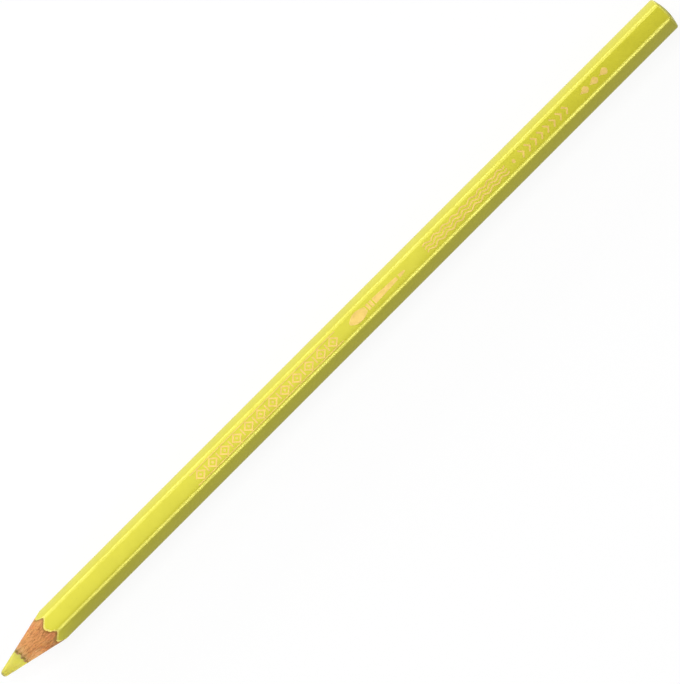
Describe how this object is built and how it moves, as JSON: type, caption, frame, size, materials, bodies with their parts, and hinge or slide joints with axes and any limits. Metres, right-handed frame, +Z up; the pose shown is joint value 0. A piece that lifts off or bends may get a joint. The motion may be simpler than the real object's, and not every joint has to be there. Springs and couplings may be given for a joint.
{
  "type": "watercolor pencil",
  "caption": "Hexagonal wood-cased watercolor pencil with a sharpened cone, a blunt water-soluble core, a lacquered body and a dipped, domed butt.",
  "frame": {"origin": "on the surface that the pencil lies on, under the middle of its length and width", "axes": "+X along the pencil from its sharpened point to its butt, +Y across it from one side edge to the other, +Z up through the printed flat"},
  "size_m": [0.175, 0.0072, 0.0066],
  "materials": {
    "pigment": "matte",
    "cedar": "matte",
    "lacquer": "gloss",
    "foil_print": "satin"
  },
  "bodies": {
    "root": {"pigment_core": "pigment", "casing_upper": "cedar", "casing_lower": "cedar", "lacquer_coat": "lacquer"}
  },
  "joints": []
}
